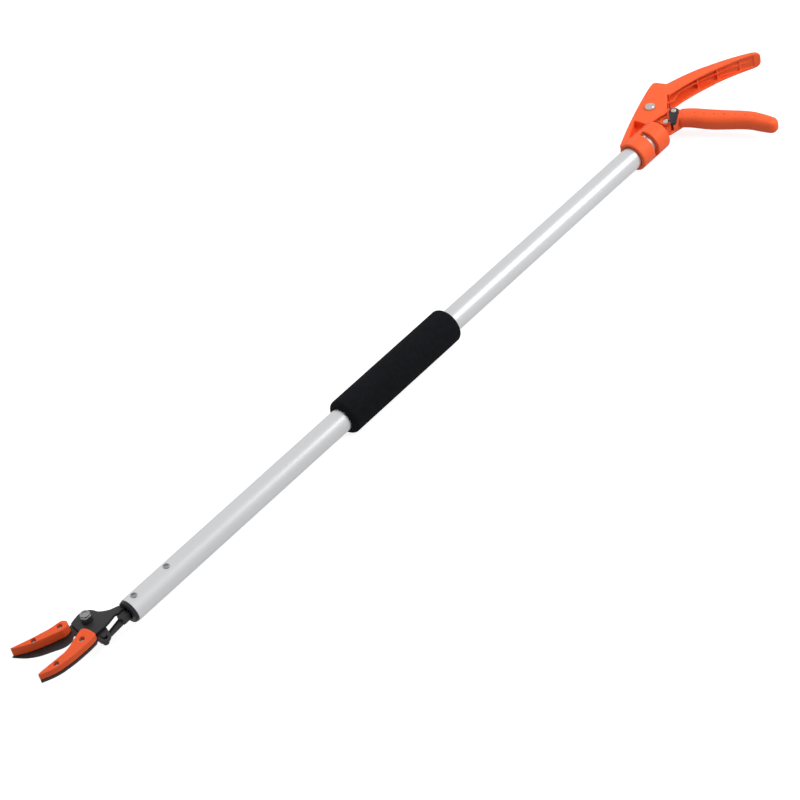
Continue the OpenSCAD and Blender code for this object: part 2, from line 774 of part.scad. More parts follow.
// What is cut off to round the corners of the fixed grip's tip
module tip_corners() {
    at = (grip_back[1] + grip_open[1]) / 2;
    r = grip_corner_r;
    translate([at.x, at.y, 0]) rotate(grip_tip_aim) translate([grip_tip_r - 0.05 - r, 0, 0])
        for (side = [-1, 1]) translate([0, 0, side * (grip_tip_thick / 2 - r + 0.05)]) difference() {
            translate([0, -reach / 2, side > 0 ? 0 : -2 * r]) cube([2 * r, reach, 2 * r]);
            rotate([90, 0, 0]) cylinder(r = r, h = 2 * reach, center = true);
        }
}

module turning_slot() {
    translate([stop_x, 0, 0]) rotate([0, 90, 0]) rotate([0, 0, slot_from + 90])
        rotate_extrude(angle = slot_to - slot_from)
            translate([tube_r - 1, -slot_w / 2]) square([collar_wall + 4, slot_w]);
}

module handle_body() {
    color(ORANGE) difference() {
        union() {
            translate([mouth_x, 0, 0]) {
                difference() {
                    slab(-cheek_z, cheek_z) cheek_outline();
                    slab(pocket_web / 2, cheek_z + 1) polygon(pocket);
                    slab(-cheek_z - 1, -pocket_web / 2) polygon(pocket);
                    slab(-room_z, room_z) lever_hollow();
                }
                difference() {
                    grip_plate(0) grip_outline();
                    grip_plate(grip_wall) channel_outline();
                    slab(-room_z, room_z) lever_hollow();
                    tip_corners();
                }
                grip_ribs();
            }
            collar_sleeve();
        }
        bar_x(mouth_x - 1, tube_back + face_gap, tube_r + run_fit);
        bar_x(mouth_x - 1, mouth_x + collar_len + 1, passage_r);
        translate([mouth_x - 0.01, 0, 0]) rotate([0, 90, 0])
            cylinder(r1 = tube_r + 0.9, r2 = tube_r + run_fit, h = 1.6);
        turning_slot();
        translate([lever_pivot.x, lever_pivot.y, -body_thick])
            cylinder(d = lever_bolt_d + 2 * seat_fit, h = 2 * body_thick);
    }
}

module lever_bolt() {
    color(SILVER) translate([lever_pivot.x, lever_pivot.y, cheek_z])
        domed_pin(lever_head_d, lever_head_h, lever_bolt_d, body_thick + washer_h + lever_nut_h + 0.8);
}

module lever_washer() {
    color(STEEL) translate([lever_pivot.x, lever_pivot.y, -cheek_z - washer_h]) difference() {
        cylinder(d = 2.2 * lever_bolt_d, h = washer_h);
        translate([0, 0, -1]) cylinder(d = lever_bolt_d + 2 * seat_fit, h = washer_h + 2);
    }
}

module lever_nut() {
    crown = 1.4;
    color(SILVER) translate([lever_pivot.x, lever_pivot.y, -cheek_z - washer_h - lever_nut_h]) difference() {
        union() {
            translate([0, 0, crown]) hexagon(10, lever_nut_h - crown);
            cylinder(d = 8.6, h = lever_nut_h);
        }
        translate([0, 0, -1]) cylinder(d = lever_bolt_d + 2 * seat_fit, h = lever_nut_h + 2);
    }
}

// Stirrup: the rod's round button turns in its window, and the trigger's pin goes through its eye
module rod_yoke() {
    window_x = yoke_front + yoke_wall;
    bridge_x = window_x + yoke_window;
    color(ORANGE) difference() {
        union() {
            translate([yoke_front, -yoke_half_y, -yoke_rail_z])
                cube([bridge_x + yoke_wall - yoke_front, 2 * yoke_half_y, 2 * yoke_rail_z]);
            strap(-yoke_eye_z, yoke_eye_z, [bridge_x + 1, 0], yoke_half_y, rod_pin, yoke_eye_r);
        }
        bar_x(yoke_front - 1, window_x + 1, rod_r + run_fit);
        translate([window_x, -tube_r, -button_r - 0.5]) cube([yoke_window, tube_od, 2 * button_r + 1]);
        translate([rod_pin.x, 0, -body_thick]) cylinder(d = yoke_pin_d + 2 * seat_fit, h = 2 * body_thick);
    }
}

module yoke_pin() {
    head_h = 1.6;
    foot = pin_seat_z + face_gap;
    color(SILVER) translate([rod_pin.x, 0, 0]) {
        translate([0, 0, -foot]) cylinder(d = yoke_pin_d, h = 2 * foot);
        translate([0, 0, foot]) domed_pin(yoke_head_d, head_h, yoke_pin_d, 1);
        translate([0, 0, -foot - head_h]) cylinder(d = yoke_head_d, h = head_h);
    }
}

/* The trigger */

// Rounded section of the trigger's arm, square to the way it runs
function arm_section(at, way, half_w, half_t) =
    [for (k = [0 : 23])
        let (a = 15 * k,
             u = sign(cos(a)) * pow(abs(cos(a)), 2 / arm_square) * half_w,
             v = sign(sin(a)) * pow(abs(sin(a)), 2 / arm_square) * half_t)
        [at.x - way.y * u, at.y + way.x * u, v]];

module trigger_arm() {
    spots = smooth(arm_stations, arm_steps);
    n = len(spots) - 1;
    place = [for (s = spots) [s.x, s.y]];
    way = [for (i = [0 : n])
        let (d = place[min(i + 1, n)] - place[max(i - 1, 0)]) d / norm(d)];
    half_t = [for (s = spots) trigger_thick / 2 * s[3]];
    body_rows = [for (i = [0 : n]) arm_section(place[i], way[i], spots[i].z, half_t[i])];
    tip_rows = [for (a = [15 : 12 : 87])
        arm_section(place[n] + way[n] * arm_tip * sin(a), way[n], spots[n].z * cos(a),
            half_t[n] * (0.25 + 0.75 * cos(a)))];
    skin(concat(body_rows, tip_rows));
}

pin_angle = atan2(-lever_arm, -stroke / 2);
slot_far = norm([lever_arm, stroke / 2]);
function lever_slot(t) = around(lever_pivot, lever_arm + (slot_far - lever_arm) * t, pin_angle);

module trigger() {
    root = [mouth_x + fork_root.x, fork_root.y];
    latch_spot = [mouth_x + latch_at.x, latch_at.y];
    arm_places = smooth(arm_stations, arm_steps);
    arm_x = [for (s = arm_places) [-s.y, s.x]];
    arm_share = [for (s = arm_places) [-s.y, s[3]]];
    color(ORANGE) difference() {
        union() {
            translate([mouth_x, 0, 0]) trigger_arm();
            strap(-fork_web, fork_web, lever_pivot, lever_boss_r, rod_pin, fork_lobe_r);
            strap(-fork_web, fork_web, lever_pivot, lever_boss_r, root, fork_root_r);
            strap(-fork_top, fork_top, rod_pin, fork_lobe_r, root, fork_root_r);
            translate([lever_pivot.x, lever_pivot.y, -fork_top]) cylinder(r = lever_boss_r, h = 2 * fork_top);
            translate([latch_spot.x, latch_spot.y, 0]) cylinder(r = latch_r - 0.6, h = latch_z - 0.05);
        }
        // Fork gap, with a spacer left round the pivot
        difference() {
            union() {
                strap(-fork_z, fork_z, lever_pivot, lever_boss_r + 1, rod_pin, yoke_room_r);
                strap(-fork_z, fork_z, rod_pin, yoke_room_r, rod_pin + [-20, 12], 22);
            }
            translate([lever_pivot.x, lever_pivot.y, -fork_z]) cylinder(r = 6, h = fork_gap);
        }
        translate([lever_pivot.x, lever_pivot.y, -body_thick])
            cylinder(d = lever_bolt_d + 2 * run_fit, h = 2 * body_thick);
        strap(-body_thick, body_thick, lever_slot(0), yoke_pin_d / 2 + slot_play,
            lever_slot(1), yoke_pin_d / 2 + slot_play);
        // Seats for the pin's heads
        for (low = [pin_seat_z, -body_thick])
            strap(low, low + body_thick - pin_seat_z, lever_slot(0), yoke_head_d / 2 + slot_play,
                lever_slot(1), yoke_head_d / 2 + slot_play);
        translate([latch_spot.x, latch_spot.y, 0])
            cylinder(d = latch_rivet_d + 2 * seat_fit, h = body_thick);
        for (k = [0 : dimples - 1])
            let (y = dimple_run[0] + (dimple_run[1] - dimple_run[0]) * k / (dimples - 1),
                 top = trigger_thick / 2 * lookup(-y, arm_share))
            translate([mouth_x + lookup(-y, arm_x) - dimple_off, y, top - dimple_deep])
                cylinder(d = dimple_d, h = 5);
    }
}

module latch_rivet() {
    color(SILVER) translate([mouth_x + latch_at.x, latch_at.y, latch_z + latch_thick + 0.05])
        domed_pin(rivet_head_d, rivet_head_h, latch_rivet_d, latch_thick + rivet_deep);
}

// Teardrop thumb latch
module thumb_latch() {
    spot = [mouth_x + latch_at.x, latch_at.y];
    color(BLACK) difference() {
        strap(latch_z, latch_z + latch_thick, spot, latch_r, around(spot, latch_len, latch_aim), latch_tip_r);
        translate([spot.x, spot.y, 0]) cylinder(d = latch_rivet_d + 2 * run_fit, h = body_thick);
    }
}

pole_tube();
foam_grip();
head_ferrule();
ferrule_screws();
counter_blade();
counter_pad();
counter_pad_screws();
pivot_bolt();
pivot_washer();
pivot_nut();
guide_plug();
stop_screw();
return_spring();
cutting_blade();
cutting_pad();
cutting_pad_screws();
pull_rod();
rod_link();
link_pin();
spring_collar();
rod_button();
handle_body();
lever_bolt();
lever_washer();
lever_nut();
rod_yoke();
yoke_pin();
trigger();
latch_rivet();
thumb_latch();
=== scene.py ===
import json
import math

import bpy
from mathutils import Matrix, Vector

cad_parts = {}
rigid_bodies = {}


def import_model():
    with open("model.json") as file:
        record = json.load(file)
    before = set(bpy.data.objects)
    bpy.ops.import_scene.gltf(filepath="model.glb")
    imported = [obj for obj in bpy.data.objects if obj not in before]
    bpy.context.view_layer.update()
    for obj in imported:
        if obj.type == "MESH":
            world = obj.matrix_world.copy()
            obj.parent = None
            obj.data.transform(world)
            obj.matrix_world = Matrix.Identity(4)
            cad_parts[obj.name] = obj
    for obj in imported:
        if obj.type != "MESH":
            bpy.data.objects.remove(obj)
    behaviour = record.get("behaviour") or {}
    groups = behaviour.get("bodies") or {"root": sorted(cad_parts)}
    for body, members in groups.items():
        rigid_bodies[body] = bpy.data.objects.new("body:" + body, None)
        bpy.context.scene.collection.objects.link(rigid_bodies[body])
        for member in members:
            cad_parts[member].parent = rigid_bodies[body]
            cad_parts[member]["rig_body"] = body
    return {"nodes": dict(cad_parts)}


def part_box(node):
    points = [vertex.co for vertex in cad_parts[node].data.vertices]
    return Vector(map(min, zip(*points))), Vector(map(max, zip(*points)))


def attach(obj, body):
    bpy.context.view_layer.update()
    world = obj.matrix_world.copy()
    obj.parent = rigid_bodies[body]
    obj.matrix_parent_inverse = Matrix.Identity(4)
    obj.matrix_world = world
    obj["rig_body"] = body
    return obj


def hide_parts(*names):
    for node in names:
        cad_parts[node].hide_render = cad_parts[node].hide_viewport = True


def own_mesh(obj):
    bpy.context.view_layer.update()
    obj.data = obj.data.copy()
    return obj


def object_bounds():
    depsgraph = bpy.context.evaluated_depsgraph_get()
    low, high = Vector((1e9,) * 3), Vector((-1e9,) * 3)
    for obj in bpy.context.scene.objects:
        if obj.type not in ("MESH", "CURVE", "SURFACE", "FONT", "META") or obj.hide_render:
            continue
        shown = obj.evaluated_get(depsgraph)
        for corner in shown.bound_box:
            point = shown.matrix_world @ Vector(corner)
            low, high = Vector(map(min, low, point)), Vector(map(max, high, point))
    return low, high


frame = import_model()
nodes = frame["nodes"]
cad_box = [list(corner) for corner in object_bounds()]

# Pole tube: a drawn aluminium tube, satin anodised in its natural silver, that carries everything.
# The die leaves fine lines along it, and the anodic layer makes its shine broad and even.


def linear(code):
    """Linear colour of an sRGB hex value."""
    shares = [int(code[i:i + 2], 16) / 255 for i in (1, 3, 5)]
    return (*[s / 12.92 if s <= 0.04045 else ((s + 0.055) / 1.055) ** 2.4 for s in shares], 1)


def per_mm(*sizes):
    """Pattern scale, in metres, for features of a size in millimetres along X, Y and Z."""
    return [1000 / size for size in (sizes * 3)[:3]]


def new_material(name):
    """A material with an empty node tree."""
    material = bpy.data.materials.new(name)
    material.use_nodes = True
    material.node_tree.nodes.clear()
    return material, material.node_tree


def add(tree, kind, inputs, **settings):
    """Adds a node with its settings, and fills its inputs with values or with other nodes' outputs."""
    made = tree.nodes.new(kind)
    for name, value in settings.items():
        setattr(made, name, value)
    for name, value in inputs.items():
        if isinstance(value, bpy.types.NodeSocket):
            tree.links.new(value, made.inputs[name])
        else:
            made.inputs[name].default_value = value
    return made


def anodised_aluminium():
    """Satin anodised aluminium: a broad, soft shine, with drawing lines about 1 mm apart."""
    material, tree = new_material("satin_anodised_aluminium")
    place = add(tree, "ShaderNodeTexCoord", {}).outputs["Object"]
    fine = add(tree, "ShaderNodeMapping", {"Vector": place, "Scale": per_mm(90, 1, 1)})
    lines = add(tree, "ShaderNodeTexNoise", {"Vector": fine.outputs[0], "Scale": 1, "Detail": 3})
    broad = add(tree, "ShaderNodeMapping", {"Vector": place, "Scale": per_mm(180, 60, 60)})
    patches = add(tree, "ShaderNodeTexNoise", {"Vector": broad.outputs[0], "Scale": 1, "Detail": 3})
    colour = add(tree, "ShaderNodeMix", {0: patches.outputs[0], 6: linear("#CBCCCE"), 7: linear("#D5D6D8")},
                 data_type="RGBA")
    shine = add(tree, "ShaderNodeMapRange", {"Value": lines.outputs[0], "To Min": 0.3, "To Max": 0.42})
    relief = add(tree, "ShaderNodeBump", {"Height": lines.outputs[0], "Distance": 0.00001})
    shader = add(tree, "ShaderNodeBsdfPrincipled", {
        "Base Color": colour.outputs[2], "Metallic": 1, "Roughness": shine.outputs[0],
        "Normal": relief.outputs[0]})
    add(tree, "ShaderNodeOutputMaterial", {"Surface": shader.outputs[0]})
    return material


def paint(material, *names):
    """Gives CAD nodes a material in place of their plain one."""
    for name in names:
        nodes[name].data.materials.clear()
        nodes[name].data.materials.append(material)


paint(anodised_aluminium(), "pole_tube")

# Head ferrule: a black nylon plug, moulded, that closes the tube's end and grips the counter blade's tang.
# Two plated screws hold it through the tube's wall.


def black_nylon():
    """Moulded black nylon: a dull shine and a fine spark-eroded grain, drawn at 1.2 mm so that it shows."""
    material, tree = new_material("moulded_black_nylon")
    place = add(tree, "ShaderNodeTexCoord", {}).outputs["Object"]
    grain = add(tree, "ShaderNodeTexNoise", {"Vector": place, "Scale": per_mm(1.2)[0], "Detail": 3})
    patches = add(tree, "ShaderNodeTexNoise", {"Vector": place, "Scale": per_mm(9)[0], "Detail": 3})
    colour = add(tree, "ShaderNodeMix", {0: patches.outputs[0], 6: linear("#1A191D"), 7: linear("#252329")},
                 data_type="RGBA")
    shine = add(tree, "ShaderNodeMapRange", {"Value": grain.outputs[0], "To Min": 0.34, "To Max": 0.52})
    relief = add(tree, "ShaderNodeBump", {"Height": grain.outputs[0], "Distance": 0.00003})
    shader = add(tree, "ShaderNodeBsdfPrincipled", {
        "Base Color": colour.outputs[2], "Roughness": shine.outputs[0], "Specular IOR Level": 0.3,
        "Normal": relief.outputs[0]})
    add(tree, "ShaderNodeOutputMaterial", {"Surface": shader.outputs[0]})
    return material


def plated_steel(name, dark, light, smooth, dull):
    """Plated steel: a little cloudy, its plating drawn in patches of 2.5 mm, from a dark to a light shade."""
    material, tree = new_material(name)
    place = add(tree, "ShaderNodeTexCoord", {}).outputs["Object"]
    cloud = add(tree, "ShaderNodeTexNoise", {"Vector": place, "Scale": per_mm(2.5)[0], "Detail": 3})
    pits = add(tree, "ShaderNodeTexNoise", {"Vector": place, "Scale": per_mm(0.8)[0]})
    colour = add(tree, "ShaderNodeMix", {0: cloud.outputs[0], 6: linear(dark), 7: linear(light)},
                 data_type="RGBA")
    shine = add(tree, "ShaderNodeMapRange", {"Value": cloud.outputs[0], "To Min": smooth, "To Max": dull})
    relief = add(tree, "ShaderNodeBump", {"Height": pits.outputs[0], "Distance": 0.00001})
    shader = add(tree, "ShaderNodeBsdfPrincipled", {
        "Base Color": colour.outputs[2], "Metallic": 1, "Roughness": shine.outputs[0],
        "Normal": relief.outputs[0]})
    add(tree, "ShaderNodeOutputMaterial", {"Surface": shader.outputs[0]})
    return material


zinc = plated_steel("zinc_plated_steel", dark="#838285", light="#A4A3A3", smooth=0.14, dull=0.34)
paint(black_nylon(), "head_ferrule")
paint(zinc, "ferrule_screws")

# Blades: the counter blade is a stamped steel plate fixed in the ferrule, and the curved cutting blade
# turns on it. Both are blackened, with broken edges, and the cutting edge is ground bright underneath.


def copied(node, name):
    """A new piece with a node's shape: its loose triangles merged, and its flat faces made whole."""
    piece = bpy.data.objects.new(name, nodes[node].data.copy())
    bpy.context.scene.collection.objects.link(piece)
    bpy.ops.object.select_all(action="DESELECT")
    piece.select_set(True)
    bpy.context.view_layer.objects.active = piece
    bpy.ops.mesh.customdata_custom_splitnormals_clear()
    bpy.ops.object.mode_set(mode="EDIT")
    bpy.ops.mesh.select_all(action="SELECT")
    bpy.ops.mesh.remove_doubles(threshold=1e-6)
    bpy.ops.mesh.dissolve_limited(angle_limit=math.radians(0.3))
    bpy.ops.object.mode_set(mode="OBJECT")
    return piece


def finish_with(piece, kind, **settings):
    """Adds a modifier with its settings to a piece and applies it."""
    modifier = piece.modifiers.new(kind.lower(), kind)
    for name, value in settings.items():
        setattr(modifier, name, value)
    bpy.context.view_layer.objects.active = piece
    bpy.ops.object.modifier_apply(modifier=modifier.name)


def rounded(node, name, radius, segments=3):
    """A copy of a node with its sharp edges rounded to a radius in millimetres."""
    piece = copied(node, name)
    finish_with(piece, "BEVEL", width=radius / 1000, segments=segments, limit_method="ANGLE",
                angle_limit=math.radians(32), use_clamp_overlap=False, harden_normals=False)
    bpy.ops.object.shade_smooth_by_angle(angle=math.radians(32))
    return piece


def fit(piece, material, node):
    """Gives a piece its finish, hides the CAD node that it stands for, and ties the piece to that node's
    body.
    """
    piece.data.materials.clear()
    piece.data.materials.append(material)
    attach(piece, nodes[node]["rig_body"])
    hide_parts(node)


def blackened_steel():
    """Black-oxide steel: dark grey with a soft metal shine, mottled by the bath and by handling."""
    material, tree = new_material("blackened_steel")
    place = add(tree, "ShaderNodeTexCoord", {}).outputs["Object"]
    mottle = add(tree, "ShaderNodeTexNoise", {"Vector": place, "Scale": per_mm(4)[0], "Detail": 5})
    grit = add(tree, "ShaderNodeTexNoise", {"Vector": place, "Scale": per_mm(0.9)[0]})
    colour = add(tree, "ShaderNodeMix", {0: mottle.outputs[0], 6: linear("#2A292A"), 7: linear("#393738")},
                 data_type="RGBA")
    shine = add(tree, "ShaderNodeMapRange", {"Value": mottle.outputs[0], "To Min": 0.36, "To Max": 0.56})
    relief = add(tree, "ShaderNodeBump", {"Height": grit.outputs[0], "Distance": 0.00002})
    shader = add(tree, "ShaderNodeBsdfPrincipled", {
        "Base Color": colour.outputs[2], "Metallic": 0.55, "Roughness": shine.outputs[0],
        "Normal": relief.outputs[0]})
    add(tree, "ShaderNodeOutputMaterial", {"Surface": shader.outputs[0]})
    return material


def ground_steel():
    """Bare ground steel: bright, with grinding lines about 0.8 mm apart across the edge."""
    material, tree = new_material("ground_steel")
    place = add(tree, "ShaderNodeTexCoord", {}).outputs["Object"]
    across = add(tree, "ShaderNodeMapping", {"Vector": place, "Scale": per_mm(0.8, 30, 30)})
    lines = add(tree, "ShaderNodeTexNoise", {"Vector": across.outputs[0], "Scale": 1, "Detail": 3})
    colour = add(tree, "ShaderNodeMix", {0: lines.outputs[0], 6: linear("#AFAFB0"), 7: linear("#CBCBCB")},
                 data_type="RGBA")
    shine = add(tree, "ShaderNodeMapRange", {"Value": lines.outputs[0], "To Min": 0.22, "To Max": 0.4})
    shader = add(tree, "ShaderNodeBsdfPrincipled", {
        "Base Color": colour.outputs[2], "Metallic": 1, "Roughness": shine.outputs[0]})
    add(tree, "ShaderNodeOutputMaterial", {"Surface": shader.outputs[0]})
    return material


BEVEL_SLOPE = (-0.95, -0.78)

black_oxide = blackened_steel()
fit(rounded("counter_blade", "counter_blade_plate", 0.3), black_oxide, "counter_blade")
cutting_plate = rounded("cutting_blade", "cutting_blade_plate", 0.25)
fit(cutting_plate, black_oxide, "cutting_blade")
cutting_plate.data.materials.append(ground_steel())
for face in cutting_plate.data.polygons:
    face.material_index = 1 if BEVEL_SLOPE[0] < face.normal.z < BEVEL_SLOPE[1] else 0

# Holding pads: two orange nylon mouldings screwed on to the blades. They close on the cut stem and hold it.
# Their edges are well rounded, and each plated screw sits in a counterbore.


def orange_nylon():
    """Moulded orange nylon: a satin face with a fine grain, drawn at 1 mm, and a little uneven colour."""
    material, tree = new_material("moulded_orange_nylon")
    place = add(tree, "ShaderNodeTexCoord", {}).outputs["Object"]
    grain = add(tree, "ShaderNodeTexNoise", {"Vector": place, "Scale": per_mm(1)[0], "Detail": 3})
    patches = add(tree, "ShaderNodeTexNoise", {"Vector": place, "Scale": per_mm(22)[0], "Detail": 3})
    colour = add(tree, "ShaderNodeMix", {0: patches.outputs[0], 6: linear("#F05A2A"), 7: linear("#F56232")},
                 data_type="RGBA")
    shine = add(tree, "ShaderNodeMapRange", {"Value": grain.outputs[0], "To Min": 0.4, "To Max": 0.56})
    relief = add(tree, "ShaderNodeBump", {"Height": grain.outputs[0], "Distance": 0.00002})
    shader = add(tree, "ShaderNodeBsdfPrincipled", {
        "Base Color": colour.outputs[2], "Roughness": shine.outputs[0], "Specular IOR Level": 0.3,
        "Normal": relief.outputs[0]})
    add(tree, "ShaderNodeOutputMaterial", {"Surface": shader.outputs[0]})
    return material


def moulded(node, name, voxel, passes, share):
    """A copy of a node as a moulding: an even skin of a voxel size in millimetres, its edges smoothed in
    passes and a share of its faces kept."""
    piece = copied(node, name)
    finish_with(piece, "REMESH", mode="VOXEL", voxel_size=voxel / 1000)
    finish_with(piece, "SMOOTH", factor=0.5, iterations=passes)
    finish_with(piece, "DECIMATE", ratio=share)
    bpy.ops.object.shade_smooth()
    return piece


orange = orange_nylon()
for jaw in ("counter", "cutting"):
    pad = moulded(f"{jaw}_pad", f"{jaw}_pad_moulding", voxel=0.4, passes=32, share=0.6)
    fit(pad, orange, f"{jaw}_pad")
    paint(zinc, f"{jaw}_pad_screws")

# Blade pivot: a plated bolt from below holds the blades together, with a blackened washer
# and a lock nut with a round collar on top. The nut's edges are broken.
fit(rounded("pivot_nut", "pivot_lock_nut", 0.4), zinc, "pivot_nut")
paint(zinc, "pivot_bolt")
paint(black_oxide, "pivot_washer")

# Linkage: a drawn steel rod slides inside the pole, with a flat black link and its pin at the head,
# a collar for the return spring, and a round button that turns in the handle's yoke.
fit(rounded("rod_link", "rod_link_bar", 0.3), black_oxide, "rod_link")
paint(black_oxide, "link_pin")
paint(zinc, "pull_rod", "spring_collar", "rod_button")

# Return spring: round steel wire wound about the rod, made from a circle that is screwed along it.
# On the pruner it shortens against the guide plug as the rod is pulled; the wire here is built at one length.
SPRING_TURNS = 8
SPRING_WIRE = 0.0016
WIRE_SIDES = 12
STEPS_A_TURN = 28

spring_low, spring_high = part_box("return_spring")
wire_r = SPRING_WIRE / 2
coil_r = spring_high.y - wire_r
pitch = (spring_high.x - spring_low.x - SPRING_WIRE) / SPRING_TURNS
bpy.ops.object.select_all(action="DESELECT")
bpy.ops.mesh.primitive_circle_add(vertices=WIRE_SIDES, radius=wire_r, fill_type="NGON",
                                  location=(spring_low.x + wire_r, coil_r, 0))
bpy.ops.object.transform_apply()
spring = bpy.context.object
spring.name = "return_spring_wire"
finish_with(spring, "SCREW", axis="X", angle=math.tau, screw_offset=pitch, iterations=SPRING_TURNS,
            steps=STEPS_A_TURN, render_steps=STEPS_A_TURN, use_merge_vertices=True)
bpy.ops.object.mode_set(mode="EDIT")
bpy.ops.mesh.select_all(action="SELECT")
bpy.ops.mesh.normals_make_consistent(inside=False)
bpy.ops.object.mode_set(mode="OBJECT")
bpy.ops.object.shade_smooth_by_angle(angle=math.radians(50))
fit(spring, zinc, "return_spring")
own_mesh(spring)

# Guide plug: a turned nylon plug that centres the rod at the handle end. A plated stop screw, its glint
# painted in a lighter plating, holds it in the tube, and the screw's head rides in the slot of the handle's
# collar.


def natural_nylon():
    """Natural nylon: milky, a little waxy, with faint turning marks 0.8 mm apart."""
    material, tree = new_material("natural_nylon")
    place = add(tree, "ShaderNodeTexCoord", {}).outputs["Object"]
    turned = add(tree, "ShaderNodeMapping", {"Vector": place, "Scale": per_mm(0.8, 32, 32)})
    marks = add(tree, "ShaderNodeTexNoise", {"Vector": turned.outputs[0], "Scale": 1, "Detail": 3})
    patches = add(tree, "ShaderNodeTexNoise", {"Vector": place, "Scale": per_mm(6)[0], "Detail": 3})
    colour = add(tree, "ShaderNodeMix", {0: patches.outputs[0], 6: linear("#DEDBD1"), 7: linear("#EDEBE4")},
                 data_type="RGBA")
    shine = add(tree, "ShaderNodeMapRange", {"Value": marks.outputs[0], "To Min": 0.38, "To Max": 0.58})
    relief = add(tree, "ShaderNodeBump", {"Height": marks.outputs[0], "Distance": 0.00002})
    shader = add(tree, "ShaderNodeBsdfPrincipled", {
        "Base Color": colour.outputs[2], "Roughness": shine.outputs[0], "Subsurface Weight": 0.15,
        "Subsurface Scale": 0.002, "Normal": relief.outputs[0]})
    add(tree, "ShaderNodeOutputMaterial", {"Surface": shader.outputs[0]})
    return material


# The same plating as the rest, painted lighter, warmer and glossier: a painted glint and a painted reflection
# of the orange moulding, for the small fasteners at the handle end.
plating_painted_glint = plated_steel("plated_steel_painted_glint", dark="#AEA69E", light="#CEC6BD", smooth=0.06, dull=0.2)
paint(natural_nylon(), "guide_plug")
paint(plating_painted_glint, "stop_screw")

# Fore grip: a black closed-cell foam sleeve, pushed on to the tube, soft and a little uneven to the hand.
# Its ends are rounded over, and its skin shows the fine cells of the foam.
FOAM_SIDES = 96
FOAM_RINGS = 56
FOAM_ROUND = 0.005
BORE_ROUND = 0.001
FOAM_SWELL = 0.0005
FOAM_WAVE = 0.014
BORE_FIT = 0.00003

foam_low, foam_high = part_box("foam_grip")
foam_r = foam_high.z
foam_len = foam_high.x - foam_low.x
bore_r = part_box("pole_tube")[1].z + BORE_FIT
bpy.ops.object.select_all(action="DESELECT")
bpy.ops.mesh.primitive_cylinder_add(vertices=FOAM_SIDES, radius=foam_r, depth=foam_len,
                                    location=(foam_low + foam_high) / 2, rotation=(0, math.pi / 2, 0))
bpy.ops.object.transform_apply()
foam = bpy.context.object
foam.name = "foam_sleeve"


def select_where(piece, part, test):
    """Selects, in edit mode, the faces or edges that pass a test."""
    bpy.ops.object.mode_set(mode="EDIT")
    bpy.ops.mesh.select_mode(type="FACE" if part == "polygons" else "EDGE")
    bpy.ops.mesh.select_all(action="DESELECT")
    bpy.ops.object.mode_set(mode="OBJECT")
    for item in getattr(piece.data, part):
        item.select = test(item)
    bpy.ops.object.mode_set(mode="EDIT")


def edge_ends(piece, edge):
    """The two ends of an edge."""
    return [piece.data.vertices[i].co for i in edge.vertices]


def end_ring(piece, radius):
    """Test for the edges that go round an end of the sleeve at a radius."""
    far = foam_len / 2 - 1e-5
    return lambda edge: all(abs(p.x) > far and abs(math.hypot(p.y, p.z) - radius) < 1e-4
                            for p in edge_ends(piece, edge))


select_where(foam, "polygons", lambda face: abs(face.normal.x) > 0.9)
bpy.ops.mesh.inset(thickness=foam_r - bore_r, use_individual=True)
bpy.ops.mesh.bridge_edge_loops()
select_where(foam, "edges", end_ring(foam, foam_r))
bpy.ops.mesh.bevel(offset=FOAM_ROUND, segments=8, affect="EDGES")
select_where(foam, "edges", end_ring(foam, bore_r))
bpy.ops.mesh.bevel(offset=BORE_ROUND, segments=3, affect="EDGES")


def lengthwise(edge):
    """Test for the edges that run along the sleeve."""
    start, end = edge_ends(foam, edge)
    return abs(start.x - end.x) > foam_len / 2


select_where(foam, "edges", lengthwise)
bpy.ops.mesh.subdivide(number_cuts=FOAM_RINGS)
bpy.ops.object.mode_set(mode="OBJECT")
skin = foam.vertex_groups.new(name="skin")
skin.add([v.index for v in foam.data.vertices if math.hypot(v.co.y, v.co.z) > bore_r + 0.002], 1, "REPLACE")
swell = bpy.data.textures.new("foam_swell", "CLOUDS")
swell.noise_scale = FOAM_WAVE
finish_with(foam, "DISPLACE", texture=swell, texture_coords="LOCAL", strength=FOAM_SWELL, mid_level=0.6,
            vertex_group="skin")
bpy.ops.object.shade_smooth_by_angle(angle=math.radians(40))


def black_foam():
    """Closed-cell rubber foam: matt black, its cells of under 1 mm drawn at 1.6 mm so that they show."""
    material, tree = new_material("closed_cell_foam")
    place = add(tree, "ShaderNodeTexCoord", {}).outputs["Object"]
    cells = add(tree, "ShaderNodeTexVoronoi", {"Vector": place, "Scale": per_mm(1.6)[0]})
    patches = add(tree, "ShaderNodeTexNoise", {"Vector": place, "Scale": per_mm(5)[0], "Detail": 3})
    colour = add(tree, "ShaderNodeMix", {0: patches.outputs[0], 6: linear("#101013"), 7: linear("#191A1E")},
                 data_type="RGBA")
    dullness = add(tree, "ShaderNodeMapRange", {"Value": cells.outputs[0], "To Min": 0.8, "To Max": 1})
    relief = add(tree, "ShaderNodeBump", {"Height": cells.outputs[0], "Distance": 0.00012})
    shader = add(tree, "ShaderNodeBsdfPrincipled", {
        "Base Color": colour.outputs[2], "Roughness": dullness.outputs[0], "Specular IOR Level": 0.1,
        "Normal": relief.outputs[0]})
    add(tree, "ShaderNodeOutputMaterial", {"Surface": shader.outputs[0]})
    return material


fit(foam, black_foam(), "foam_grip")

# Handle: one orange nylon moulding. Its collar turns on the tube, two cheeks hold the trigger, and the fixed
# grip is an open channel with ribs. A domed bolt with a painted glint, a washer and a lock nut carry the
# trigger.
handle = moulded("handle_body", "handle_moulding", voxel=0.6, passes=4, share=0.4)
fit(handle, orange, "handle_body")
paint(plating_painted_glint, "lever_bolt")
paint(zinc, "lever_washer", "lever_nut")

